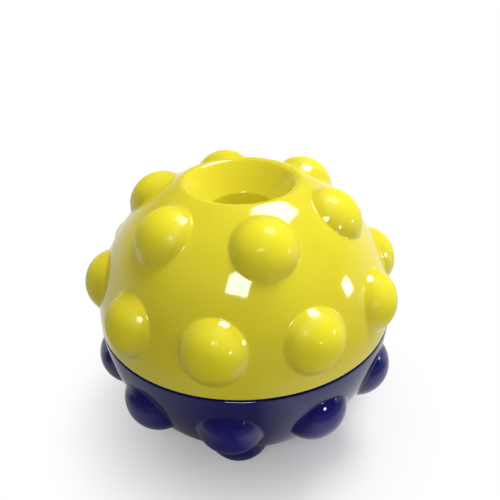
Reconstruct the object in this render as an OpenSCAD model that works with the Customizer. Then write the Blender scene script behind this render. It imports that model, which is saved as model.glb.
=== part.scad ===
// Treat ball: two bumped half shells that twist together, with a metering chute under the mouth.
// The origin is the middle of the flat foot, and the mouth faces up.

/* [Ball] */
// Outer diameter of the round shell, without its bumps
ball_d = 100; // [92:1:120]
// Thickness of the moulded walls
wall = 3; // [2.4:0.1:3.6]
// Diameter of the flat foot that the ball stands on
foot_d = 31; // [29:0.5:34]
// Thickness of the soft ring in the seam between the halves
seal_t = 0.8; // [0.6:0.1:1.2]
// How far the soft ring is set back from the outside of the shell
seal_back = 0.7; // [0.5:0.1:1]
// How far the soft ring is set back from the inside of the shell
seal_inset = 0.2; // [0.1:0.1:0.5]

/* [Bumps] */
// Radius of a round bump
bump_r = 11.4; // [9.8:0.1:11.8]
// How far a bump stands out from the shell
bump_proud = 5.2; // [4.5:0.1:5.8]
// Radius of the fillet where a bump meets the shell
bump_fillet = 1; // [0.8:0.1:1.4]
// Number of bumps in the row near each pole
pole_bumps = 6; // [4:2:6]
// Number of bumps in the row near the seam
seam_bumps = 10; // [8:2:10]
// Angle above the seam of the row round the mouth
mouth_row_lat = 50.8; // [48:0.1:52]
// Angle above the seam of the yellow row beside the seam
upper_row_lat = 16.8; // [16:0.1:18]
// Angle below the seam of the blue row beside the seam
lower_row_lat = 20.2; // [17:0.1:22]
// Angle below the seam of the row round the foot
foot_row_lat = 52; // [49:0.5:53]
// Turn of the row round the mouth from the front
mouth_row_turn = 11.3; // [0:0.1:60]
// Turn of the yellow row beside the seam from the front
upper_row_turn = -11.4; // [-18:0.1:18]
// Turn of both blue rows from the front
lower_turn = -7.4; // [-18:0.1:18]

/* [Mouth and chute] */
// Diameter of the mouth inside its rolled rim, and of the chute under its funnel
mouth_d = 33; // [30:0.5:34]
// Radius of the rolled rim of the mouth
rim_round = 2.4; // [2:0.1:3]
// Slope of the funnel's wall
funnel_slope = 51; // [48:1:54]
// Diameter at the top of the throat under the funnel
throat_d = 20.2; // [19:0.1:21]
// Length of the throat between the centres of its rounded ends
throat_l = 5; // [4:0.5:6]
// Radius of the throat's rounded ends, which is half of its wall thickness
throat_round = 1.5; // [1.2:0.1:1.6]
// Angle by which the throat's wall narrows downwards
throat_draft = 12; // [8:1:14]
// Wall thickness of the chute
chute_wall = 2.4; // [1.8:0.1:2.6]
// Length of the chute collar that is part of the upper shell
collar_l = 18.8; // [16:0.2:20]
// Length of the sleeve below that collar
sleeve_l = 12; // [11:0.5:14]
// Length of the socket that holds the sleeve on the collar
socket_l = 7; // [5:0.5:9]

/* [Metering gate] */
// Angle of the chute's fixed floor, and of the gate that hides over it
floor_arc = 140; // [110:5:150]
// Thickness of the fixed floor
floor_t = 2.4; // [2:0.1:3]
// Thickness of the gate
gate_t = 2; // [1.6:0.1:2.4]
// Radius of the hub at the middle of the floor and of the gate
hub_r = 4.5; // [4.2:0.1:5.5]
// Height of the finger tab on the gate
tab_h = 4; // [3:0.5:5]
// Thickness of the finger tab
tab_t = 2; // [1.6:0.2:2.6]
// Radius of the rivet's shank
rivet_r = 2; // [1.6:0.1:2.4]
// Radius of the rivet's head
rivet_head_r = 4; // [3.5:0.1:4.1]
// Thickness of the rivet's head
rivet_head_t = 1.6; // [1.2:0.1:2]
// How far the rivet's barb stands out from its shank
barb_reach = 1; // [0.6:0.1:1.4]
// Length of the rivet's barb
barb_l = 1.6; // [1.2:0.1:2.4]
// Width of the slot that splits the rivet's barb
slot_w = 0.8; // [0.6:0.1:1]
// Arc of each stop on the chute wall
stop_arc = 6; // [4:1:8]
// How far a stop reaches in from the chute wall
stop_reach = 2.3; // [1.5:0.1:3]
// Angle left between a stop and the gate at each end of its swing
stop_room = 2; // [1.5:0.5:3]

/* [Twist closure] */
// Number of thread lugs round each half
lug_count = 4; // [3:1:4]
// Arc of a lug
lug_arc = 24; // [18:1:26]
// Height of a lug
lug_h = 2.3; // [2:0.1:2.6]
// How far a lug reaches out from the neck
lug_reach = 1.8; // [1.5:0.1:2.2]
// Turn of the lugs from the front
lug_turn = 20; // [0:1:90]
// Wall thickness of the neck
neck_wall = 2.4; // [2:0.1:3]
// Room between the yellow rim and its lugs
lug_room = 2.3; // [2:0.1:3]
// Height of the neck over its lugs
neck_cap = 0.35; // [0.2:0.05:0.6]

/* [Clearances] */
// Gap between turning faces of the halves, and round the gate
turn_gap = 0.35; // [0.3:0.05:0.5]
// Gap between the mating ramps of the lugs when the ball is shut
ramp_gap = 0.2; // [0.15:0.05:0.3]
// Gap between the ramps of lugs that pass over one another
pass_gap = 0.8; // [0.6:0.1:1]
// Radial clearance of the rivet and of the sleeve's socket
fit_gap = 0.05; // [0.03:0.01:0.08]

/* [Hidden] */
$fn = 96;

// Overrun that carries a cut clear past a face
past = 1;
// Depth by which a fillet cuts into its neighbours, so that the faces cross at a clear angle
fillet_bite = 0.05;

ball_r = ball_d / 2;
inner_r = ball_r - wall;
foot_r = foot_d / 2;
// Height of the ball's centre over the foot
centre_h = sqrt(pow(ball_r, 2) - pow(foot_r, 2));
// Underside of the ledge inside the blue half. The yellow rim is level with the ball's centre.
ledge_low = -seal_t - wall;

// Bumps: distance of a bump's centre from the ball's centre, and the radius of its hollow back
bump_c = ball_r + bump_proud - bump_r;
dimple_r = bump_r - wall;
// Place of the fillet circle in the plane through a bump's axis
fillet_far = ball_r + bump_fillet - fillet_bite;
fillet_reach = bump_r + bump_fillet - fillet_bite;
fillet_turn = acos((pow(fillet_far, 2) + pow(bump_c, 2) - pow(fillet_reach, 2)) / (2 * fillet_far * bump_c));
fillet_place = fillet_far * [sin(fillet_turn), cos(fillet_turn)];
fillet_foot = inner_r * [sin(fillet_turn), cos(fillet_turn)];

// Mouth: centre of the rolled rim's circle
mouth_r = mouth_d / 2;
rim_r = mouth_r + rim_round;
rim_z = sqrt(pow(ball_r - rim_round, 2) - pow(rim_r, 2));
rim_place = [rim_r, rim_z];
rim_turn = atan2(rim_z, rim_r);
rim_span = 3 * rim_round;
collar_r = mouth_r + chute_wall;
collar_z = rim_z - collar_l;

// Funnel and throat: centres of the throat's rounded ends, and the directions square to the faces of the walls
throat_top_r = throat_d / 2 + throat_round;
funnel_in = rim_r - throat_top_r;
funnel_drop = (throat_round - rim_round + funnel_in * sin(funnel_slope)) / cos(funnel_slope);
throat_top = [throat_top_r, rim_z - funnel_drop];
throat_end = throat_top - throat_l * [tan(throat_draft), 1];
funnel_over = funnel_slope + 90;
funnel_under = 2 * atan2(-funnel_drop, -funnel_in) - funnel_over;
throat_over = 180 - throat_draft;
throat_under = -throat_draft;

// Chute sleeve, floor, gate and rivet, from the bottom up
sleeve_z = collar_z - sleeve_l;
socket_r = collar_r + fit_gap;
floor_z = sleeve_z + floor_t;
gate_z = floor_z + turn_gap;
gate_top = gate_z + gate_t;
gate_r = mouth_r - turn_gap;
tab_in = rivet_head_r + turn_gap;
rivet_head_z = gate_top + turn_gap;
barb_r = rivet_r + barb_reach;
rivet_tip_z = sleeve_z - barb_l;
// The fixed floor lies at the back of the chute
floor_mid = 90;
// The gate swings from over the floor until it lies just beside it
gate_swing = floor_arc;

// Twist closure: axial pitch between lugs, rise in one turn, and slope of the ramps
pitch = 2 * lug_h + ramp_gap + pass_gap;
lead = lug_count * pitch;
ramp_slope = atan(lead / (2 * PI * (inner_r - lug_reach)));
ramp_rise = inner_r * sin(lug_arc / 2) * tan(ramp_slope);
// Heights of the lugs' undersides, of the neck's top, and the neck's radii
upper_lug_z = lug_room;
lower_lug_z = upper_lug_z + lug_h + ramp_gap;
lug_top = lower_lug_z + lug_h + ramp_rise;
neck_top = lug_top + neck_cap;
lug_r = sqrt(pow(inner_r - turn_gap, 2) - pow(lug_top, 2));
neck_r = lug_r - lug_reach;
neck_bore = neck_r - neck_wall;
lug_step = 360 / lug_count;

// Seal: its outer and inner radius
seal_out = ball_r - seal_back;
seal_in = inner_r + seal_inset;

yellow = [0.92, 0.84, 0.13];
navy = [0.12, 0.10, 0.38];
black = [0.06, 0.06, 0.07];

// A step of one unit in a direction
function ray(turn) = [cos(turn), sin(turn)];

// Turns a shape's +Z to the given angle above the seam, and then round from the front
module aim(turn, lat) {
    rotate([90 - lat, 0, turn])
        children();
}

// A row of copies round the ball at one angle above the seam
module row(count, lat, turn) {
    for (i = [0 : count - 1])
        aim(turn + i * 360 / count, lat)
            children();
}

// The two rows of one half
module upper_rows() {
    row(pole_bumps, mouth_row_lat, mouth_row_turn)
        children();
    row(seam_bumps, upper_row_lat, upper_row_turn)
        children();
}

module lower_rows() {
    row(pole_bumps, -foot_row_lat, lower_turn)
        children();
    row(seam_bumps, -lower_row_lat, lower_turn)
        children();
}

// Round bump with its fillet, standing on the shell along +Z. Its ball ends just inside the wall.
module bump() {
    rotate_extrude()
        intersection() {
            union() {
                translate([0, bump_c])
                    circle(bump_r);
                difference() {
                    polygon([[0, bump_c], fillet_place, fillet_foot, [0, inner_r]]);
                    translate(fillet_place)
                        circle(bump_fillet);
                }
            }
            translate([0, fillet_foot[1] - past])
                square(2 * bump_r);
        }
}

// Hollow back of a bump
module dimple() {
    translate([0, 0, bump_c])
        sphere(dimple_r);
}

// Half of a disc that lies between two heights, beside the axis
module half_disc(r, low, high) {
    intersection() {
        circle(r);
        translate([0, low])
            square([r + past, high - low]);
    }
}

// Outline of the upper shell without its hollow: round outside, rolled rim, funnel, straight chute
module upper_outline() {
    difference() {
        half_disc(ball_r, 0, ball_r + past);
        translate([0, -past])
            square([mouth_r, ball_r + 2 * past]);
        translate(rim_place)
            polygon([
                [0, 0],
                rim_span * ray(rim_turn),
                [0, 2 * rim_span],
                [-rim_span, 2 * rim_span],
                [-rim_span, 0]
            ]);
    }
    translate(rim_place)
        circle(rim_round + fillet_bite);
    funnel_outline();
}

// Outline of a wall from one circle to another, with faces square to two directions, and its rounded end
module wall_outline(start, start_r, end, end_r, over, under) {
    polygon([
        start + start_r * ray(over),
        end + end_r * ray(over),
        end + end_r * ray(under),
        start + start_r * ray(under)
    ]);
    translate(end)
        circle(end_r + fillet_bite);
}

// Outline of the funnel, which goes down from the rolled rim, and of the throat under it
module funnel_outline() {
    wall_outline(rim_place, rim_round, throat_top, throat_round, funnel_over, funnel_under);
    wall_outline(throat_top, throat_round, throat_end, throat_round, throat_over, throat_under);
}

// Hollow of the upper shell, round the chute collar
module upper_hollow() {
    difference() {
        half_disc(inner_r, -past, ball_r);
        translate([0, collar_z])
            square([collar_r, ball_r]);
    }
}

// One thread lug between two radii: a ring sector between two parallel ramps
module lug(r_in, r_out, low) {
    intersection() {
        rotate([0, 0, -lug_arc / 2])
            rotate_extrude(angle = lug_arc)
                translate([r_in, low - ramp_rise - past])
                    square([r_out - r_in, lug_h + 2 * (ramp_rise + past)]);
        translate([0, 0, low])
            rotate([ramp_slope, 0, 0])
                translate([0, -ball_r / 2, 0])
                    cube([ball_r, ball_r, lug_h * cos(ramp_slope)]);
    }
}

module lugs(r_in, r_out, low) {
    for (i = [0 : lug_count - 1])
        rotate([0, 0, lug_turn - 90 + i * lug_step])
            lug(r_in, r_out, low);
}

// Yellow half: bumped cap, rolled mouth with its funnel, chute collar and inward lugs
module upper_shell() {
    color(yellow)
        translate([0, 0, centre_h]) {
            difference() {
                union() {
                    rotate_extrude()
                        upper_outline();
                    upper_rows()
                        bump();
                }
                rotate_extrude()
                    upper_hollow();
                upper_rows()
                    dimple();
            }
            lugs(neck_r + turn_gap, ball_r - wall / 2, upper_lug_z);
        }
}

// Outline of the blue half: round outside, flat foot, ledge at the seam and upright neck
module lower_outline() {
    difference() {
        half_disc(ball_r, -centre_h, -seal_t);
        half_disc(inner_r, wall - centre_h, past);
    }
    intersection() {
        half_disc(ball_r - wall / 2, ledge_low, -seal_t);
        translate([neck_bore, -ball_r])
            square([ball_r, 2 * ball_r]);
    }
    translate([neck_bore, ledge_low])
        square([neck_wall, neck_top - ledge_low]);
}

// Blue half: bumped bowl with a flat foot, and a neck with outward lugs
module lower_shell() {
    color(navy)
        translate([0, 0, centre_h]) {
            difference() {
                union() {
                    rotate_extrude()
                        lower_outline();
                    lower_rows()
                        bump();
                }
                lower_rows()
                    dimple();
                rotate_extrude()
                    half_disc(inner_r, wall - centre_h, ledge_low);
            }
            lugs(neck_r - neck_wall / 2, lug_r, lower_lug_z);
        }
}

// Soft flat ring bonded under the yellow rim
module seal_ring() {
    color(black)
        translate([0, 0, centre_h])
            rotate_extrude()
                translate([seal_in, -seal_t])
                    square([seal_out - seal_in, seal_t]);
}

// A pie slice of a disc, its middle at the given direction
module slice(r, mid, arc) {
    intersection() {
        circle(r);
        rotate(mid)
            polygon([
                [0, 0],
                2 * r * [cos(arc / 2), -sin(arc / 2)],
                2 * r * [1, -tan(arc / 4)],
                2 * r * [1, tan(arc / 4)],
                2 * r * [cos(arc / 2), sin(arc / 2)]
            ]);
    }
}

// Sleeve that carries the chute on down: socket, tube, fixed floor with its hub, and two stops
module chute_sleeve() {
    color(yellow)
        translate([0, 0, centre_h])
            difference() {
                union() {
                    rotate_extrude() {
                        translate([mouth_r, sleeve_z])
                            square([chute_wall, sleeve_l]);
                        translate([collar_r, collar_z - chute_wall])
                            square([fit_gap + chute_wall, chute_wall]);
                        translate([socket_r, collar_z - chute_wall])
                            square([chute_wall, socket_l + chute_wall]);
                    }
                    translate([0, 0, sleeve_z])
                        linear_extrude(floor_t) {
                            slice(mouth_r + chute_wall / 2, floor_mid, floor_arc);
                            circle(hub_r);
                        }
                    gate_stop(floor_mid + floor_arc / 2 + gate_swing + stop_room);
                    gate_stop(floor_mid - floor_arc / 2 - stop_room - stop_arc);
                }
                translate([0, 0, sleeve_z - past])
                    cylinder(h = floor_t + 2 * past, r = rivet_r + fit_gap);
            }
}

// A short upright rib on the chute wall that stops the gate
module gate_stop(from) {
    rotate([0, 0, from])
        rotate_extrude(angle = stop_arc)
            translate([mouth_r - stop_reach, sleeve_z])
                square([stop_reach + chute_wall / 2, rivet_head_z - sleeve_z]);
}

// Turning gate that narrows the way out, with an upright finger tab
module gate_disc() {
    color(navy)
        translate([0, 0, centre_h])
            difference() {
                union() {
                    translate([0, 0, gate_z])
                        linear_extrude(gate_t) {
                            slice(gate_r, floor_mid, floor_arc);
                            circle(hub_r);
                        }
                    intersection() {
                        rotate([0, 0, floor_mid])
                            translate([tab_in, -tab_t / 2, gate_z])
                                cube([gate_r - tab_in, tab_t, gate_t + tab_h]);
                        translate([0, 0, gate_z])
                            cylinder(h = gate_t + tab_h, r = gate_r);
                    }
                }
                translate([0, 0, gate_z - past])
                    cylinder(h = gate_t + 2 * past, r = rivet_r + fit_gap);
            }
}

// Snap rivet that the gate turns on: head, shank, and a split barb under the floor
module gate_rivet() {
    color(yellow)
        translate([0, 0, centre_h])
            difference() {
                rotate_extrude()
                    polygon([
                        [0, rivet_tip_z],
                        [rivet_r, rivet_tip_z],
                        [barb_r, sleeve_z],
                        [rivet_r, sleeve_z],
                        [rivet_r, rivet_head_z],
                        [rivet_head_r, rivet_head_z],
                        [rivet_head_r, rivet_head_z + rivet_head_t],
                        [0, rivet_head_z + rivet_head_t]
                    ]);
                translate([-barb_r, -slot_w / 2, rivet_tip_z - past])
                    cube([2 * barb_r, slot_w, floor_z - rivet_tip_z + past]);
            }
}

upper_shell();
lower_shell();
seal_ring();
chute_sleeve();
gate_disc();
gate_rivet();
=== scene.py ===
# %% [markdown]
# # A treat ball in two bumped half shells
# The imported solids are loaded first, as a frame that nothing may move. Every piece that is modelled
# below goes exactly where its solid lies, so nothing has to be fitted by eye.

# %% Load the frame
import math

import bmesh
import bpy
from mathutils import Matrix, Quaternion, Vector


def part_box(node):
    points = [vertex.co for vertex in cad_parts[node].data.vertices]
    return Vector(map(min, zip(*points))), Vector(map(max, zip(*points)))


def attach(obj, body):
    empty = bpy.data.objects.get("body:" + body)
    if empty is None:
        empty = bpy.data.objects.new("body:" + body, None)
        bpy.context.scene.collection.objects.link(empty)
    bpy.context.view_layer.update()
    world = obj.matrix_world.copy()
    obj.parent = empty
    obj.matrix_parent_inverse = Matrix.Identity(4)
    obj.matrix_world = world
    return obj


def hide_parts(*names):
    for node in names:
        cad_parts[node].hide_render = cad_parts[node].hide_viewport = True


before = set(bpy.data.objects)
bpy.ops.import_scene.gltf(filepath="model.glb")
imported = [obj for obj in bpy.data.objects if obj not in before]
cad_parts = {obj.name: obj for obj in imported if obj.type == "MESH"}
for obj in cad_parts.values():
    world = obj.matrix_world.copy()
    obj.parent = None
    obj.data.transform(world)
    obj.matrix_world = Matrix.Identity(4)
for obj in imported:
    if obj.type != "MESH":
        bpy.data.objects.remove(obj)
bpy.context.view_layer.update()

# %% [markdown]
# The driving sizes of the ball. Blender works in metres, so a size is written in millimetres and
# multiplied by mm. Heights are measured from the ball's centre, and the frame says where that is: the
# rim of the yellow half lies level with it.

# %% Sizes of the ball
mm = 0.001
ball_r = 50 * mm
wall = 3 * mm
up = Vector((0, 0, 1))
centre = Vector((0, 0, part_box("upper_shell")[0].z))
seam_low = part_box("seal_ring")[0].z - centre.z
print("the ball's centre is", round(centre.z / mm, 2), "mm up")

# %% [markdown]
# The camera stands where the photograph was taken from. Its distance, its height angle and its roll
# were found by fitting circles to the bumps, the seam and the mouth. It first looks straight at the
# ball's centre, and then turns just enough to bring that centre to its own place in the 500 pixel
# picture.

# %% Camera
picture = 500
ball_pixel = (244.7, 299.1)
focal_pixels = 585.2
camera_distance = 209.1 * mm
camera_height_angle = math.radians(34.76)
camera_roll = math.radians(-1.97)

camera_data = bpy.data.cameras.new("photo_camera")
camera_data.lens = camera_data.sensor_width * focal_pixels / picture
camera_data.clip_start = 0.01
camera = bpy.data.objects.new("photo_camera", camera_data)
bpy.context.scene.collection.objects.link(camera)
toward_camera = Vector((0, -math.cos(camera_height_angle), math.sin(camera_height_angle)))
camera.location = centre + camera_distance * toward_camera
straight = (-toward_camera).to_track_quat("-Z", "Y") @ Quaternion((0, 0, 1), camera_roll)
across = (ball_pixel[0] - picture / 2) / focal_pixels
upward = (picture / 2 - ball_pixel[1]) / focal_pixels
aside = Vector((across, upward, -1)).rotation_difference(Vector((0, 0, -1)))
camera.rotation_mode = "QUATERNION"
camera.rotation_quaternion = straight @ aside
bpy.context.scene.camera = camera
bpy.context.scene.view_settings.view_transform = "Standard"
print("lens", round(camera_data.lens, 1), "mm at", [round(v, 3) for v in camera.location])

# %% [markdown]
# Each piece starts as a primitive, and nothing else may be selected while its operators run, so
# everything is deselected first. Most of this ball is turned, as on a lathe: one vertex is extruded
# from point to point along half of the outline, and the outline is spun round the ball's upright axis.


# %% Drawing and spinning an outline
def start_piece(name):
    """A new mesh object in edit mode that holds a single vertex at the origin."""
    bpy.ops.object.select_all(action="DESELECT")
    bpy.ops.mesh.primitive_plane_add(size=mm)
    piece = bpy.context.object
    piece.name = name
    piece.data.name = name
    bpy.ops.object.mode_set(mode="EDIT")
    bpy.ops.mesh.select_all(action="SELECT")
    bpy.ops.mesh.merge(type="CENTER")
    return piece


def draw_outline(points):
    """Moves the single vertex to the first point, and extrudes it along the others."""
    here = Vector(points[0])
    bpy.ops.transform.translate(value=here)
    for point in points[1:]:
        step = Vector(point) - here
        bpy.ops.mesh.extrude_region_move(TRANSFORM_OT_translate={"value": step})
        here = Vector(point)


weld_gap = 0.005 * mm


def weld():
    """Merges the vertices that lie on one another."""
    bpy.ops.mesh.select_all(action="SELECT")
    bpy.ops.mesh.remove_doubles(threshold=weld_gap)


def side_of(turn):
    """The level direction at an angle round from the front, in degrees, to the right as seen from there."""
    return Vector((math.sin(math.radians(turn)), -math.cos(math.radians(turn)), 0))


def lathe(name, outline, turn=0, steps=150):
    """A turned piece from points of (radius, height over the ball's centre)."""
    piece = start_piece(name)
    draw_outline([centre + radius * side_of(turn) + height * up for radius, height in outline])
    bpy.ops.mesh.select_all(action="SELECT")
    bpy.ops.mesh.spin(steps=steps, angle=2 * math.pi, center=centre, axis=up)
    weld()
    bpy.ops.mesh.normals_make_consistent(inside=False)
    bpy.ops.object.mode_set(mode="OBJECT")
    return piece


def arc(middle, radius, start, end, steps):
    """Points of an arc from one angle to another, in degrees."""
    turns = [math.radians(start + (end - start) * i / steps) for i in range(steps + 1)]
    return [(middle[0] + radius * math.cos(t), middle[1] + radius * math.sin(t)) for t in turns]


def rounded(corners, radius, steps=3):
    """A closed outline through the corners, each of them rounded off."""
    outline = []
    for i, place in enumerate(corners):
        corner = Vector(place)
        before = (Vector(corners[i - 1]) - corner).normalized()
        after = (Vector(corners[(i + 1) % len(corners)]) - corner).normalized()
        half = before.angle(after) / 2
        middle = corner + (before + after).normalized() * radius / math.sin(half)
        start = corner + before * radius / math.tan(half) - middle
        end = corner + after * radius / math.tan(half) - middle
        outline += [tuple(middle + radius * start.slerp(end, k / steps)) for k in range(steps + 1)]
    return outline + outline[:1]


# %% [markdown]
# One bump is part of a small sphere that runs out into the shell through a fillet. Its outline is two
# arcs that meet smoothly: the cap, and the hollow arc of the fillet, which is tangent to the shell
# where it ends. All the angles follow from the circle that touches both spheres.

# %% Outline of a bump
bump_r = 11.4 * mm
bump_proud = 5.2 * mm
bump_fillet = 1 * mm

bump_far = ball_r + bump_proud - bump_r
fillet_far = ball_r + bump_fillet
reach = bump_r + bump_fillet
bump_foot = math.acos((fillet_far**2 + bump_far**2 - reach**2) / (2 * fillet_far * bump_far))
fillet_middle = (fillet_far * math.sin(bump_foot), fillet_far * math.cos(bump_foot))
cap_end = math.degrees(math.atan2(fillet_middle[1] - bump_far, fillet_middle[0]))
cap = arc((0, bump_far), bump_r, 90, cap_end, steps=14)
foot_end = 270 - math.degrees(bump_foot)
foot = arc(fillet_middle, bump_fillet, 180 + cap_end, foot_end, steps=6)
bump_outline = cap + foot[1:]
print("a bump covers", round(2 * math.degrees(bump_foot), 1), "degrees of the shell")

# %% [markdown]
# The shell round the bumps is laid out in cells. A row is a ring of equal cells with one bump in each.
# The foot of a bump is a circle and the border of its cell is a rectangle of longitude and latitude,
# with the same number of points, so plain four-sided faces can run from one to the other. A boolean
# union of balls would be quicker, but its long thin faces would show as dents in a glossy skin.

# %% One bump in its cell of the shell
column = 2.4
cell_cuts = 5
foot_margin = 0.001


def on_ball(turn, lat):
    """A point of the round shell, at an angle from the front and an angle above the seam."""
    lat = math.radians(lat)
    return centre + ball_r * (math.cos(lat) * side_of(turn) + math.sin(lat) * up)


def cell_border(turn, half, low, high, columns, rows):
    """Points round the border of a cell, anticlockwise from the middle of its right side."""
    width = 2 * half / columns
    height = (high - low) / rows
    middle = rows // 2
    right_top = [(half, low + height * (middle + i)) for i in range(middle)]
    top = [(half - width * i, high) for i in range(columns)]
    left = [(-half, high - height * i) for i in range(rows)]
    bottom = [(-half + width * i, low) for i in range(columns)]
    right_low = [(half, low + height * i) for i in range(middle)]
    return [on_ball(turn + side, lat) for side, lat in right_top + top + left + bottom + right_low]


def bump_cell(name, turn, lat, border):
    """One bump with the shell round it, in edit mode with everything selected."""
    axis = (on_ball(turn, lat) - centre).normalized()
    east = side_of(turn + 90)
    north = axis.cross(east)
    steps = len(border)
    piece = start_piece(name)
    draw_outline([centre + out * east + along * axis for out, along in bump_outline])
    bpy.ops.mesh.select_all(action="SELECT")
    bpy.ops.mesh.spin(steps=steps, angle=2 * math.pi, center=centre, axis=axis)
    weld()

    net = bmesh.from_edit_mesh(piece.data)
    for edge in net.edges:
        edge.select_set(False)
    for edge in net.edges:
        if edge.is_boundary:
            edge.select_set(True)
    bmesh.update_edit_mesh(piece.data)
    bpy.ops.mesh.extrude_edges_move()

    net = bmesh.from_edit_mesh(piece.data)
    for vert in net.verts:
        if vert.select:
            arm = vert.co - centre
            place = math.atan2(arm.dot(north), arm.dot(east)) * steps / (2 * math.pi)
            vert.co = border[round(place) % steps]
    spokes = [e for e in net.edges if sum(v.is_boundary for v in e.verts) == 1]
    for edge in net.edges:
        edge.select_set(False)
    for edge in spokes:
        edge.select_set(True)
    bmesh.update_edit_mesh(piece.data)
    bpy.ops.mesh.subdivide(number_cuts=cell_cuts)

    net = bmesh.from_edit_mesh(piece.data)
    for vert in net.verts:
        arm = vert.co - centre
        if arm.angle(axis) > bump_foot + foot_margin:
            vert.co = centre + ball_r * arm.normalized()
    bmesh.update_edit_mesh(piece.data)
    bpy.ops.mesh.select_all(action="SELECT")
    return piece


def bump_row(name, turn, lat, count, low, high, rows, grid):
    """A ring of cells: one cell, copied round the upright axis and welded to its copies."""
    half = 180 / count
    columns = round(2 * half / column)
    border_turn = grid + half + column * round((turn - half - grid) / column)
    border = cell_border(border_turn, half, low, high, columns, rows)
    piece = bump_cell(name, turn, lat, border)
    share = 2 * math.pi / count
    bpy.ops.mesh.spin(steps=count - 1, dupli=True, angle=share * (count - 1), center=centre, axis=up)
    weld()
    bpy.ops.object.mode_set(mode="OBJECT")
    print(name, "has", count, "bumps and", len(piece.data.polygons), "faces")
    return piece


# %% [markdown]
# The yellow half has a ring of ten bumps above the seam and a ring of six round the mouth. Both rings
# keep to one grid of columns, so they weld where they meet.

# %% Skin of the yellow half
pole_bumps = 6
seam_bumps = 10
mouth_row_turn = 11.3
mouth_row_lat = 50.8
upper_row_turn = -11.4
upper_row_lat = 16.8
upper_split = 32.4
mouth_lat = 65
upper_grid = mouth_row_turn - 180 / pole_bumps

mouth_row = bump_row(
    "mouth_row", mouth_row_turn, mouth_row_lat, pole_bumps, upper_split, mouth_lat, rows=14, grid=upper_grid
)
upper_row = bump_row(
    "upper_row", upper_row_turn, upper_row_lat, seam_bumps, 0, upper_split, rows=12, grid=upper_grid
)


def join_skin(name, pieces):
    """Joins open pieces into one skin that faces outwards."""
    bpy.ops.object.select_all(action="DESELECT")
    for piece in pieces:
        piece.select_set(True)
    bpy.context.view_layer.objects.active = pieces[0]
    bpy.ops.object.join()
    skin = bpy.context.object
    skin.name = name
    skin.data.name = name
    bpy.ops.object.mode_set(mode="EDIT")
    weld()
    bpy.ops.mesh.normals_make_consistent(inside=False)
    bpy.ops.object.mode_set(mode="OBJECT")
    return skin


yellow_half = join_skin("yellow_half", [upper_row, mouth_row])
print("yellow skin has", len(yellow_half.data.polygons), "faces")

# %% [markdown]
# The real half is a moulding with an even wall, hollow behind every bump. Solidify gives a skin such a
# wall. Its rim is left out, because turned pieces will join the outer skin to the inner one, and the
# inner skin is made exactly round between the bumps, so that those pieces fit it.


# %% Wall of the yellow half
def apply_modifier(piece, kind, **settings):
    """Adds a modifier with its settings and applies it."""
    bpy.ops.object.select_all(action="DESELECT")
    piece.select_set(True)
    bpy.context.view_layer.objects.active = piece
    modifier = piece.modifiers.new(kind.title(), kind)
    for key, value in settings.items():
        setattr(modifier, key, value)
    bpy.ops.object.modifier_apply(modifier=modifier.name)


inner_r = ball_r - wall
round_within = 0.001 * mm


def thicken(skin):
    """Adds the inner skin. Its vertices follow those of the outer one, whose number is handed back."""
    count = len(skin.data.vertices)
    apply_modifier(skin, "SOLIDIFY", thickness=wall, offset=-1, use_even_offset=True, use_rim=False)
    places = skin.data.vertices
    for i in range(count):
        arm = places[i].co - centre
        if abs(arm.length - ball_r) < round_within:
            places[count + i].co = centre + inner_r * arm.normalized()
    return count


print("the outer skin has", thicken(yellow_half), "points")

# %% [markdown]
# The mouth is a rolled rim that runs on into a funnel with a short, steep throat, and a chute hangs
# from the rim round that funnel. All of it is turned from one outline, which starts on the edge of the
# outer skin and ends on the edge of the inner one: arcs for the rim, for the edge of the hole and for
# the end of the throat, and straight lines that touch them.

# %% Mouth, funnel and chute
mouth_r = 16.5 * mm
rim_round = 2.4 * mm
chute_wall = 2.4 * mm
collar_l = 18.8 * mm
funnel_slope = 51
throat_r = 10.1 * mm
throat_l = 5 * mm
throat_round = 1.5 * mm
throat_draft = 12

rim_r = mouth_r + rim_round
rim_z = math.sqrt((ball_r - rim_round) ** 2 - rim_r**2)
rim = (rim_r, rim_z)
rim_lat = math.degrees(math.atan2(rim_z, rim_r))
collar_r = mouth_r + chute_wall
collar_z = rim_z - collar_l
throat_top_r = throat_r + throat_round
funnel_in = rim_r - throat_top_r
slope = math.radians(funnel_slope)
funnel_drop = (throat_round - rim_round + funnel_in * math.sin(slope)) / math.cos(slope)
throat_top = (throat_top_r, rim_z - funnel_drop)
throat_end = (throat_top_r - throat_l * math.tan(math.radians(throat_draft)), throat_top[1] - throat_l)
over = 90 + funnel_slope
under = 2 * math.degrees(math.atan2(funnel_drop, funnel_in)) - over


def line(start, end, steps):
    """Points on a straight line, without its two ends."""
    shares = [i / steps for i in range(1, steps)]
    return [tuple(Vector(start).lerp(Vector(end), share)) for share in shares]


def crossing(first, second):
    """The point where two straight lines meet, each of them given by two of its points."""
    a, b = map(Vector, first)
    c, d = map(Vector, second)
    share = (c - a).cross(d - c) / (b - a).cross(d - c)
    return tuple(a.lerp(b, share))


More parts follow.
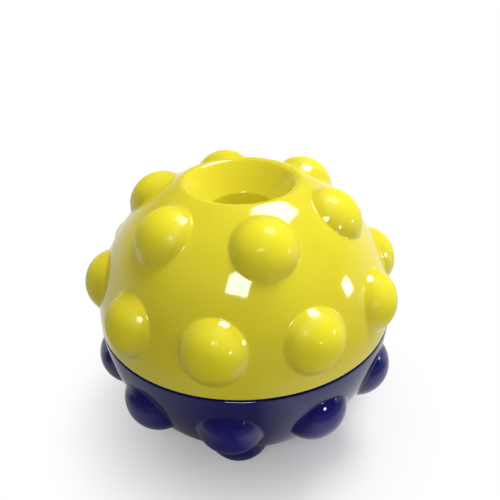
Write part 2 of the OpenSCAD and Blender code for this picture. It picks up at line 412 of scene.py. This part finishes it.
shell_edge = arc((0, 0), ball_r, mouth_lat, rim_lat, steps=2)
rolled = arc(rim, rim_round, rim_lat, over, steps=10)
throat_edge = arc(throat_top, throat_round, over, 180 - throat_draft, steps=6)
throat_tip = arc(throat_end, throat_round, 180 - throat_draft, 360 - throat_draft, steps=10)
chute_end = (mouth_r, collar_z)
under_throat = arc(throat_top, throat_round, under, -throat_draft, steps=1)
under_funnel = [under_throat[0], arc(rim, rim_round, under, under, steps=1)[0]]
throat_side = [throat_tip[-1], under_throat[-1]]
throat_corner = crossing(throat_side, under_funnel)
chute_corner = crossing(under_funnel, [chute_end, (mouth_r, rim_z)])
collar_lat = math.degrees(math.acos(collar_r / inner_r))
inner_edge = arc((0, 0), inner_r, collar_lat, mouth_lat, steps=2)
mouth_outline = (
    shell_edge
    + rolled[1:]
    + line(rolled[-1], throat_edge[0], steps=8)
    + throat_edge
    + line(throat_edge[-1], throat_tip[0], steps=4)
    + throat_tip
    + line(throat_tip[-1], throat_corner, steps=4)
    + [throat_corner]
    + line(throat_corner, chute_corner, steps=3)
    + [chute_corner]
    + line(chute_corner, chute_end, steps=6)
    + [chute_end, (collar_r, collar_z)]
    + inner_edge
)
mouth = lathe("mouth", mouth_outline, upper_grid)
seam_edge = lathe("seam_edge", [(ball_r, 0), (ball_r - wall / 2, 0), (inner_r, 0)], upper_grid)
yellow_half = join_skin("yellow_half", [yellow_half, mouth, seam_edge])


def round_edges(piece, width, sharper_than=60, segments=3):
    """Rounds the edges that are sharper than an angle."""
    apply_modifier(
        piece,
        "BEVEL",
        width=width,
        segments=segments,
        limit_method="ANGLE",
        angle_limit=math.radians(sharper_than),
    )


edge_round = 0.3 * mm
round_edges(yellow_half, edge_round)
print("the mouth's rim is", round((rim_z + rim_round) / mm, 2), "mm over the ball's centre")

# %% [markdown]
# The halves screw together on short thread lugs, four on each. Their heights give the rise in one turn,
# and that rise gives the slope of their ramps. A lug is a piece of a ring that climbs: a rounded
# rectangle is spun through 24 degrees, its ends are filled, and the result is tilted into a ramp by
# moving each vertex up in step with its place along the lug. The lugs are welded on with a boolean
# union.

# %% Thread lugs
lug_count = 4
lug_arc = 24
lug_turn = 20
lug_h = 2.3 * mm
lug_reach = 1.8 * mm
ramp_gap = 0.2 * mm
pass_gap = 0.8 * mm
turn_gap = 0.35 * mm
upper_lug_z = 2.3 * mm

lead = lug_count * (2 * lug_h + ramp_gap + pass_gap)
ramp = lead / (2 * math.pi * (inner_r - lug_reach))
lower_lug_z = upper_lug_z + lug_h + ramp_gap
lug_top = lower_lug_z + lug_h + ramp * inner_r * math.sin(math.radians(lug_arc / 2))
lug_r = math.sqrt((inner_r - turn_gap) ** 2 - lug_top**2)
neck_r = lug_r - lug_reach


def box_corners(r_in, r_out, low, high):
    """The corners of a rectangle in the plane of an outline."""
    return [(r_in, low), (r_out, low), (r_out, high), (r_in, high)]


def sector(name, outline, middle, sweep, steps):
    """Part of a ring: a closed outline spun through part of a turn, with its two ends filled."""
    piece = start_piece(name)
    side = side_of(middle + sweep / 2)
    draw_outline([centre + radius * side + height * up for radius, height in outline])
    weld()
    bpy.ops.mesh.spin(steps=steps, angle=math.radians(sweep), center=centre, axis=up)
    weld()
    bpy.ops.mesh.fill_holes(sides=0)
    bpy.ops.mesh.select_all(action="SELECT")
    bpy.ops.mesh.normals_make_consistent(inside=False)
    bpy.ops.object.mode_set(mode="OBJECT")
    return piece


def thread_lugs(name, r_in, r_out, low):
    """The ring of lugs of one half."""
    outline = rounded(box_corners(r_in, r_out, low, low + lug_h), edge_round)
    piece = sector(name, outline, lug_turn, lug_arc, steps=12)
    along = side_of(lug_turn + 90)
    for vert in piece.data.vertices:
        vert.co.z += ramp * (vert.co - centre).dot(along)
    round_edges(piece, edge_round)
    bpy.ops.object.mode_set(mode="EDIT")
    bpy.ops.mesh.select_all(action="SELECT")
    share = 2 * math.pi / lug_count
    bpy.ops.mesh.spin(
        steps=lug_count - 1, dupli=True, angle=share * (lug_count - 1), center=centre, axis=up
    )
    bpy.ops.object.mode_set(mode="OBJECT")
    return piece


def combine(piece, other, operation="UNION"):
    """Welds a closed piece on another, or cuts it out, and deletes the piece that went in."""
    apply_modifier(piece, "BOOLEAN", operation=operation, solver="MANIFOLD", object=other)
    bpy.data.objects.remove(other)


def finish_surface(piece, angle=30):
    """Smooth shading that keeps the edges sharper than an angle crisp."""
    bpy.ops.object.select_all(action="DESELECT")
    piece.select_set(True)
    bpy.context.view_layer.objects.active = piece
    bpy.ops.object.shade_smooth_by_angle(angle=math.radians(angle))
    corners = [piece.matrix_world @ vert.co for vert in piece.data.vertices]
    lows = [round(min(c[i] for c in corners) / mm, 2) for i in range(3)]
    highs = [round(max(c[i] for c in corners) / mm, 2) for i in range(3)]
    print(piece.name, "reaches from", lows, "to", highs, "mm, with", len(piece.data.polygons), "faces")


combine(yellow_half, thread_lugs("yellow_lugs", neck_r + turn_gap, ball_r - wall / 2, upper_lug_z))
finish_surface(yellow_half)

# %% [markdown]
# The blue half carries the same two rings upside down, and a flat foot. The foot's edge is a small arc
# between the shell and the flat, so that it catches a line of light as a moulded edge does. The wall is
# made as in the yellow half, and the two skins are joined by the ledge in the next step.

# %% Skin and wall of the blue half
foot_z = -centre.z
foot_edge = 3 * mm
foot_rings = 4
lower_turn = -7.4
lower_row_lat = -20.2
foot_row_lat = -52
lower_split = -37.4
lower_end = -66
lower_grid = lower_turn - 180 / pole_bumps
seam_lat = math.degrees(math.asin(seam_low / ball_r))

lower_row = bump_row(
    "lower_row", lower_turn, lower_row_lat, seam_bumps, lower_split, seam_lat, rows=14, grid=lower_grid
)
foot_row = bump_row(
    "foot_row", lower_turn, foot_row_lat, pole_bumps, lower_end, lower_split, rows=12, grid=lower_grid
)
foot_flat_r = math.sqrt((ball_r - foot_edge) ** 2 - (foot_z + foot_edge) ** 2)
foot_lat = math.degrees(math.atan2(foot_z + foot_edge, foot_flat_r))
bowl = arc((0, 0), ball_r, lower_end, foot_lat, steps=3)
turned_in = arc((foot_flat_r, foot_z + foot_edge), foot_edge, foot_lat, -90, steps=4)
flat = [(foot_flat_r * (1 - i / foot_rings), foot_z) for i in range(1, foot_rings + 1)]
foot_piece = lathe("foot", bowl + turned_in[1:] + flat, lower_grid)
blue_half = join_skin("blue_half", [lower_row, foot_row, foot_piece])
outer_count = thicken(blue_half)
print("blue half stands on a flat of", round(2 * foot_flat_r / mm, 1), "mm")

# %% [markdown]
# Inside the seam, the blue half has a ledge with an upright neck that goes up into the yellow half. The
# inner skin is cut off level under the ledge with bisect. Ledge and neck are turned from one outline,
# which starts on the outer skin's edge and ends near the cut, and a flat fill closes the last gap.

# %% Ledge and neck of the blue half
neck_wall = 2.4 * mm
neck_cap = 0.35 * mm
neck_bore = neck_r - neck_wall
neck_top = lug_top + neck_cap
ledge_low = seam_low - wall
ledge_ring = 2 * mm
fill_gap = 0.8 * mm

bpy.ops.object.mode_set(mode="EDIT")
net = bmesh.from_edit_mesh(blue_half.data)
for face in net.faces:
    face.select_set(all(v.index >= outer_count for v in face.verts))
bmesh.update_edit_mesh(blue_half.data)
bpy.ops.mesh.bisect(plane_co=centre + ledge_low * up, plane_no=up, clear_outer=True)
bpy.ops.object.mode_set(mode="OBJECT")

seam_r = ball_r * math.cos(math.radians(seam_lat))
ledge_outline = [
    (seam_r, seam_low),
    (seam_r - ledge_ring, seam_low),
    (neck_r, seam_low),
    (neck_r, neck_top),
    (neck_bore, neck_top),
    (neck_bore, ledge_low),
    (inner_r - fill_gap, ledge_low),
]
ledge = lathe("ledge", ledge_outline, lower_grid)
blue_half = join_skin("blue_half", [blue_half, ledge])
bpy.ops.object.mode_set(mode="EDIT")
bpy.ops.mesh.select_mode(type="EDGE")
net = bmesh.from_edit_mesh(blue_half.data)
for edge in net.edges:
    edge.select_set(False)
for edge in net.edges:
    if edge.is_boundary:
        edge.select_set(True)
bmesh.update_edit_mesh(blue_half.data)
bpy.ops.mesh.fill(use_beauty=True)
bpy.ops.mesh.select_mode(type="VERT")
bpy.ops.mesh.select_all(action="SELECT")
bpy.ops.mesh.normals_make_consistent(inside=False)
bpy.ops.object.mode_set(mode="OBJECT")
round_edges(blue_half, edge_round)
combine(blue_half, thread_lugs("blue_lugs", (neck_r + neck_bore) / 2, lug_r, lower_lug_z))
finish_surface(blue_half)

# %% [markdown]
# The thin dark line in the seam is a soft flat ring under the yellow rim. It is a turned ring with
# rounded edges, set back a little from the outside, so that it lies in its own shadow.

# %% Seal ring
seal_inset = 0.2 * mm
seal_back = 0.7 * mm
seal_in = inner_r + seal_inset
seal_out = ball_r - seal_back
seam_seal = lathe("seam_seal", rounded(box_corners(seal_in, seal_out, seam_low, 0), edge_round))
finish_surface(seam_seal)

# %% [markdown]
# Under the mouth, a sleeve is plugged on the chute. It carries the chute on down to a fixed part floor
# with a hub, and two ribs on its wall stop the gate. Sleeve, floor, hub and ribs are one moulding, so
# they are made as turned pieces and sectors with rounded edges, and then united.

# %% Chute sleeve
sleeve_l = 12 * mm
socket_l = 7 * mm
floor_t = 2.4 * mm
gate_t = 2 * mm
hub_r = 4.5 * mm
rivet_r = 2 * mm
fit_gap = 0.05 * mm
stop_reach = 2.3 * mm
stop_arc = 6
stop_turns = (35, 105)
back = 180
floor_arc = 140
small_round = 0.25 * mm

sleeve_z = collar_z - sleeve_l
floor_z = sleeve_z + floor_t
socket_r = collar_r + fit_gap
socket_out = socket_r + chute_wall
socket_top = collar_z + socket_l
shoulder_z = collar_z - chute_wall
rivet_hole = rivet_r + fit_gap
gate_z = floor_z + turn_gap
gate_top = gate_z + gate_t
rivet_head_z = gate_top + turn_gap

sleeve_corners = [
    (mouth_r, sleeve_z),
    (collar_r, sleeve_z),
    (collar_r, shoulder_z),
    (socket_out, shoulder_z),
    (socket_out, socket_top),
    (socket_r, socket_top),
    (socket_r, collar_z),
    (mouth_r, collar_z),
]
sleeve = lathe("sleeve", rounded(sleeve_corners, small_round), steps=120)
hub_corners = box_corners(rivet_hole, hub_r, sleeve_z, floor_z)
combine(sleeve, lathe("floor_hub", rounded(hub_corners, small_round), steps=48))
floor_corners = box_corners(rivet_hole + mm, mouth_r + chute_wall / 2, sleeve_z, floor_z)
chute_floor = sector("chute_floor", rounded(floor_corners, small_round), back, floor_arc, steps=56)
round_edges(chute_floor, small_round)
combine(sleeve, chute_floor)
stop_corners = box_corners(mouth_r - stop_reach, mouth_r + chute_wall / 2, sleeve_z, rivet_head_z)
for stop_turn in stop_turns:
    stop = sector("gate_stop", rounded(stop_corners, small_round), stop_turn, stop_arc, steps=4)
    round_edges(stop, small_round)
    combine(sleeve, stop)
finish_surface(sleeve)

# %% [markdown]
# The gate is a slice of a disc that turns over the fixed floor, and sets how wide the way out is. A
# finger pushes it round by an upright tab. The tab starts as a cube, is scaled in edit mode and rounded
# by a bevel.

# %% Gate disc
head_r = 4 * mm
tab_t = 2 * mm
tab_h = 4 * mm
tab_round = 0.5 * mm
gate_r = mouth_r - turn_gap
tab_in = head_r + turn_gap
tab_out = math.sqrt(gate_r**2 - (tab_t / 2) ** 2)
tab_top = gate_top + tab_h

gate_corners = box_corners(rivet_hole + mm, gate_r, gate_z, gate_top)
gate = sector("gate", rounded(gate_corners, small_round), back, floor_arc, steps=56)
round_edges(gate, small_round)
gate_hub = box_corners(rivet_hole, hub_r, gate_z, gate_top)
combine(gate, lathe("gate_hub", rounded(gate_hub, small_round), steps=48))


def block(name, low, high):
    """A cube that is brought to the size and place between two corners, given from the ball's centre."""
    bpy.ops.object.select_all(action="DESELECT")
    bpy.ops.mesh.primitive_cube_add(size=1)
    piece = bpy.context.object
    piece.name = name
    bpy.ops.object.mode_set(mode="EDIT")
    bpy.ops.mesh.select_all(action="SELECT")
    bpy.ops.transform.resize(value=Vector(high) - Vector(low))
    bpy.ops.transform.translate(value=centre + (Vector(high) + Vector(low)) / 2)
    bpy.ops.object.mode_set(mode="OBJECT")
    return piece


tab = block("gate_tab", (-tab_t / 2, tab_in, gate_z + small_round), (tab_t / 2, tab_out, tab_top))
round_edges(tab, tab_round, segments=4)
combine(gate, tab)
finish_surface(gate)

# %% [markdown]
# The gate turns on a plastic snap rivet. It is turned from one outline, from the tip of the barb to the
# rounded head, and a block is cut out of the barb so that its two halves can spring together.

# %% Gate rivet
barb_reach = 1 * mm
barb_l = 1.6 * mm
head_t = 1.6 * mm
head_round = 0.7 * mm
slot_w = 0.8 * mm
barb_r = rivet_r + barb_reach
tip_z = sleeve_z - barb_l

head_edge = arc((head_r - head_round, rivet_head_z + head_t - head_round), head_round, 0, 90, steps=5)
rivet_outline = [
    (0, tip_z),
    (rivet_r - small_round, tip_z),
    (rivet_r, tip_z + small_round),
    (barb_r, sleeve_z - small_round),
    (barb_r - small_round, sleeve_z),
    (rivet_r, sleeve_z),
    (rivet_r, rivet_head_z),
    (head_r - small_round, rivet_head_z),
    (head_r, rivet_head_z + small_round),
]
rivet = lathe("rivet", rivet_outline + head_edge + [(0, rivet_head_z + head_t)], steps=48)
slot = block("barb_slot", (-barb_r - mm, -slot_w / 2, tip_z - mm), (barb_r + mm, slot_w / 2, floor_z))
combine(rivet, slot, "DIFFERENCE")
finish_surface(rivet)

# %% [markdown]
# Moulded plastic is never one flat colour. Pigment drifts slowly through the wall, and fine flecks of
# it show close up. The polish is a little uneven, with a very light orange peel. The crowns of the
# bumps, which roll over the floor, are painted a shade lighter as painted light, for the extra light
# the bumps catch, and fine scuffs take most of the gloss from the yellow ones. All of that is made
# from noise on Object coordinates, so it stays on the piece when the piece moves.


# %% Plastic finishes
def add_node(material, kind, settings=(), **values):
    """A node with some of its settings and input values set."""
    node = material.node_tree.nodes.new(kind)
    for key, value in dict(settings).items():
        setattr(node, key, value)
    for key, value in values.items():
        node.inputs[key.replace("_", " ")].default_value = value
    return node


def connect(material, source, target):
    """Leads an output of one node to an input of another."""
    material.node_tree.links.new(source, target)


def noise(material, place, scale, detail=2.0):
    """Noise of a feature size that is one over the scale, in metres."""
    node = add_node(material, "ShaderNodeTexNoise", Scale=scale, Detail=detail)
    connect(material, place, node.inputs["Vector"])
    return node.outputs["Fac"]


def mapped(material, value, start, end, low, high, ease="LINEAR"):
    """A value brought from one range to another and held inside it."""
    node = add_node(material, "ShaderNodeMapRange", {"interpolation_type": ease})
    for key, number in zip(("From Min", "From Max", "To Min", "To Max"), (start, end, low, high)):
        node.inputs[key].default_value = number
    connect(material, value, node.inputs["Value"])
    return node.outputs["Result"]


def combined(material, operation, first, second):
    """Two values added, multiplied and so on."""
    node = add_node(material, "ShaderNodeMath", {"operation": operation})
    connect(material, first, node.inputs[0])
    connect(material, second, node.inputs[1])
    return node.outputs["Value"]


# A Mix node lists its number and vector sockets first, and its colours have these places.
mix_first = 6
mix_second = 7
mix_result = 2


def mixed(material, share, first, second):
    """A colour between two colours."""
    node = add_node(material, "ShaderNodeMix", {"data_type": "RGBA"})
    connect(material, share, node.inputs["Factor"])
    for socket, colour in ((node.inputs[mix_first], first), (node.inputs[mix_second], second)):
        if isinstance(colour, tuple):
            socket.default_value = (*colour, 1)
        else:
            connect(material, colour, socket)
    return node.outputs[mix_result]


plastic_ior = 1.54
crown_start = 51.3 * mm
crown_full = 53.8 * mm


def moulded_plastic(name, main, deep, crown_painted_light_tone, gloss, dulling):
    """Glossy moulded plastic with drifting pigment, uneven polish, scuffed crowns, and crowns painted
    lighter as painted light.
    """
    material = bpy.data.materials.new(name)
    material.use_nodes = True
    shader = material.node_tree.nodes["Principled BSDF"]
    shader.inputs["IOR"].default_value = plastic_ior
    place = add_node(material, "ShaderNodeTexCoord").outputs["Object"]

    drift = mapped(material, noise(material, place, scale=45), 0.35, 0.65, 0, 0.55)
    flecks = mapped(material, noise(material, place, scale=1800, detail=0), 0.55, 0.75, 0, 0.35)
    pigment = combined(material, "ADD", drift, flecks)
    colour = mixed(material, pigment, main, deep)

    from_centre = add_node(material, "ShaderNodeMapping", Location=-centre)
    connect(material, place, from_centre.inputs["Vector"])
    distance = add_node(material, "ShaderNodeVectorMath", {"operation": "LENGTH"})
    connect(material, from_centre.outputs["Vector"], distance.inputs[0])
    crown_light_and_wear = mapped(material, distance.outputs["Value"], crown_start, crown_full, 0, 1)
    # painted light: the crowns are mixed toward a lighter tone, to stand in for extra light on the bumps
    painted_lighter_share = mapped(material, crown_light_and_wear, 0, 1, 0, 0.8)
    connect(material, mixed(material, painted_lighter_share, colour, crown_painted_light_tone), shader.inputs["Base Color"])
    scuffs = mapped(material, noise(material, place, scale=3000), 0.41, 0.46, 0, dulling)
    polish = mapped(material, noise(material, place, scale=150), 0.3, 0.7, gloss - 0.02, gloss + 0.03)
    wear = combined(material, "MULTIPLY", crown_light_and_wear, scuffs)
    connect(material, combined(material, "ADD", polish, wear), shader.inputs["Roughness"])

    peel = add_node(material, "ShaderNodeBump", Strength=0.04, Distance=0.1 * mm)
    connect(material, noise(material, place, scale=500), peel.inputs["Height"])
    connect(material, peel.outputs["Normal"], shader.inputs["Normal"])
    return material


def linear(red, green, blue):
    """A colour that is written in the 0 to 255 of a picture, as light."""
    shares = [value / 255 for value in (red, green, blue)]
    return tuple(s / 12.92 if s <= 0.04045 else ((s + 0.055) / 1.055) ** 2.4 for s in shares)


# The third colour of each is painted light: a lighter crown tone for the extra brightness of the bumps.
yellows = (linear(238, 225, 54), linear(230, 213, 42), linear(245, 233, 24))
navies = (linear(18, 17, 104), linear(14, 13, 84), linear(20, 20, 120))
yellow_plastic = moulded_plastic("yellow_plastic", *yellows, gloss=0.08, dulling=0.8)
navy_plastic = moulded_plastic("navy_plastic", *navies, gloss=0.08, dulling=0.1)
print("plastics", yellow_plastic.name, navy_plastic.name)

# %% [markdown]
# The seal is a soft black rubber. It is dull, so its roughness is high, with a fine grain in colour and
# bump.

# %% Rubber finish
black_rubber = bpy.data.materials.new("black_rubber")
black_rubber.use_nodes = True
rubber = black_rubber.node_tree.nodes["Principled BSDF"]
rubber_place = add_node(black_rubber, "ShaderNodeTexCoord").outputs["Object"]
grain = noise(black_rubber, rubber_place, scale=1500, detail=3)
rubber_tone = mapped(black_rubber, grain, 0.3, 0.7, 0, 1)
rubber_colour = mixed(black_rubber, rubber_tone, linear(16, 16, 20), linear(30, 30, 36))
connect(black_rubber, rubber_colour, rubber.inputs["Base Color"])
connect(black_rubber, mapped(black_rubber, grain, 0.3, 0.7, 0.55, 0.75), rubber.inputs["Roughness"])
rubber_bump = add_node(black_rubber, "ShaderNodeBump", Strength=0.2, Distance=0.05 * mm)
connect(black_rubber, grain, rubber_bump.inputs["Height"])
connect(black_rubber, rubber_bump.outputs["Normal"], rubber.inputs["Normal"])
print("rubber", black_rubber.name)

# %% [markdown]
# Each finished piece takes its material, hides the solid that it stands for, and rides on that solid's
# body, so that the ball opens and the gate turns with everything in place.

# %% Materials and bodies
pieces = [
    (yellow_half, "upper_shell", "top", "yellow_shell", yellow_plastic),
    (blue_half, "lower_shell", "base", "blue_shell", navy_plastic),
    (seam_seal, "seal_ring", "seal", "seal", black_rubber),
    (sleeve, "chute_sleeve", "top", "chute", yellow_plastic),
    (gate, "gate_disc", "gate", "gate", navy_plastic),
    (rivet, "gate_rivet", "top", "rivet", yellow_plastic),
]
for piece, node_name, body, slot_name, material in pieces:
    piece.data.materials.clear()
    piece.data.materials.append(material)
    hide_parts(node_name)
    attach(piece, body)
    print(piece.name, "rides on", body)

# %% [markdown]
# The floor is a plain pale sheet. The camera sees a mix of that sheet, which takes the ball's shadow,
# and of an even white that fills in away from the ball. Reflections and bounced light see a painted
# floor instead, read from the gloss of the blue half: a white glow painted beside and behind the ball,
# which also lights the ball, and a dark sheet as painted shadow in front of it, where the shadow falls.

# %% Floor
bpy.ops.object.select_all(action="DESELECT")
bpy.ops.mesh.primitive_plane_add(size=12)
floor = bpy.context.object
floor.name = "studio_floor"
paper = bpy.data.materials.new("floor_with_painted_light")
paper.use_nodes = True
paper.node_tree.nodes.remove(paper.node_tree.nodes["Principled BSDF"])
output = paper.node_tree.nodes["Material Output"]
path = add_node(paper, "ShaderNodeLightPath")
seen = combined(paper, "MAXIMUM", path.outputs["Is Camera Ray"], path.outputs["Is Transmission Ray"])
# painted shadow: a dark sheet that reflections and bounced light see in front of the ball
sheet = add_node(paper, "ShaderNodeBsdfDiffuse", Color=(0.14, 0.115, 0.1, 1))
bright_sheet = add_node(paper, "ShaderNodeBsdfDiffuse", Color=(0.8, 0.8, 0.8, 1))
white = add_node(paper, "ShaderNodeEmission", Color=(1, 1, 1, 1), Strength=1)


def blended(share, first, second):
    """One surface that goes over into another."""
    node = add_node(paper, "ShaderNodeMixShader")
    connect(paper, share, node.inputs[0])
    connect(paper, first.outputs[0], node.inputs[1])
    connect(paper, second.outputs[0], node.inputs[2])
    return node


floor_place = add_node(paper, "ShaderNodeTexCoord").outputs["Object"]
away = add_node(paper, "ShaderNodeVectorMath", {"operation": "LENGTH"})
connect(paper, floor_place, away.inputs[0])
seen_white = mapped(paper, away.outputs["Value"], 20 * mm, 80 * mm, 0.15, 1, ease="SMOOTHSTEP")
seen_floor = blended(seen_white, bright_sheet, white)

spread = add_node(paper, "ShaderNodeSeparateXYZ")
connect(paper, floor_place, spread.inputs[0])
# painted light: masks for a white glow painted beside and behind the ball, seen in reflections and lighting
# the ball
right_side = mapped(paper, spread.outputs["X"], 5 * mm, 35 * mm, 0.06, 0.85)
left_side = mapped(paper, spread.outputs["X"], -75 * mm, -20 * mm, 0.45, 0.06)
sides = combined(paper, "MAXIMUM", right_side, left_side)
near = mapped(paper, away.outputs["Value"], 100 * mm, 160 * mm, 1, 0.2)
far_side = mapped(paper, spread.outputs["Y"], -30 * mm, 30 * mm, 0, 0.9)
painted_glow_share = combined(paper, "MAXIMUM", combined(paper, "MULTIPLY", sides, near), far_side)
# painted light and painted shadow: the floor that reflections and bounced light see
painted_light_floor = blended(painted_glow_share, sheet, white)
surface = blended(seen, painted_light_floor, seen_floor)
connect(paper, surface.outputs[0], output.inputs["Surface"])
floor.data.materials.append(paper)
print("floor of", round(floor.dimensions.x), "m")

# %% [markdown]
# The light is a dim room with a bright horizon behind the ball, and four soft boxes. Their places were
# read from the highlights: where a highlight lies on a round shell, the shell faces half way between
# the camera and the lamp. A lamp's brightness is written as how many times brighter than white paper it
# looks. The camera itself sees the room as plain white.

# %% Room and lamps
room = bpy.data.worlds.new("studio_room")
room.use_nodes = True
bpy.context.scene.world = room
backdrop = room.node_tree.nodes["Background"]
sky = add_node(room, "ShaderNodeTexCoord").outputs["Generated"]
split = add_node(room, "ShaderNodeSeparateXYZ")
connect(room, sky, split.inputs[0])
low = mapped(room, split.outputs["Z"], 0.03, 0.35, 1, 0)
far = mapped(room, split.outputs["Y"], -0.3, 0.2, 0, 1)
horizon = combined(room, "MULTIPLY", low, far)
room_light = mixed(room, horizon, (0.1, 0.1, 0.1), (0.8, 0.75, 0.7))
camera_ray = add_node(room, "ShaderNodeLightPath").outputs["Is Camera Ray"]
connect(room, mixed(room, camera_ray, room_light, (1.0, 1.0, 1.0)), backdrop.inputs["Color"])


def soft_box(name, turn, lift, width, height, brightness, roll=0, distance=0.8):
    """A rectangular lamp that faces the ball, at an angle round from the front and an angle up."""
    lamp_data = bpy.data.lights.new(name, "AREA")
    lamp_data.shape = "RECTANGLE"
    lamp_data.size = width
    lamp_data.size_y = height
    lamp_data.energy = 4 * width * height * brightness
    lamp = bpy.data.objects.new(name, lamp_data)
    bpy.context.scene.collection.objects.link(lamp)
    lift = math.radians(lift)
    toward = math.cos(lift) * side_of(turn) + math.sin(lift) * up
    lamp.location = centre + distance * toward
    lamp.rotation_mode = "QUATERNION"
    facing = (-toward).to_track_quat("-Z", "Y")
    lamp.rotation_quaternion = facing @ Quaternion((0, 0, 1), math.radians(roll))
    lamp.visible_camera = False
    return lamp


soft_box("front_box", turn=-6, lift=43.5, width=0.22, height=0.17, brightness=13, roll=-12)
soft_box("side_box", turn=85.5, lift=9.5, width=0.12, height=0.13, brightness=12)
soft_box("small_box", turn=38, lift=12.5, width=0.09, height=0.08, brightness=18)
soft_box("over_box", turn=127, lift=65.5, width=0.33, height=0.32, brightness=12.5, roll=35)
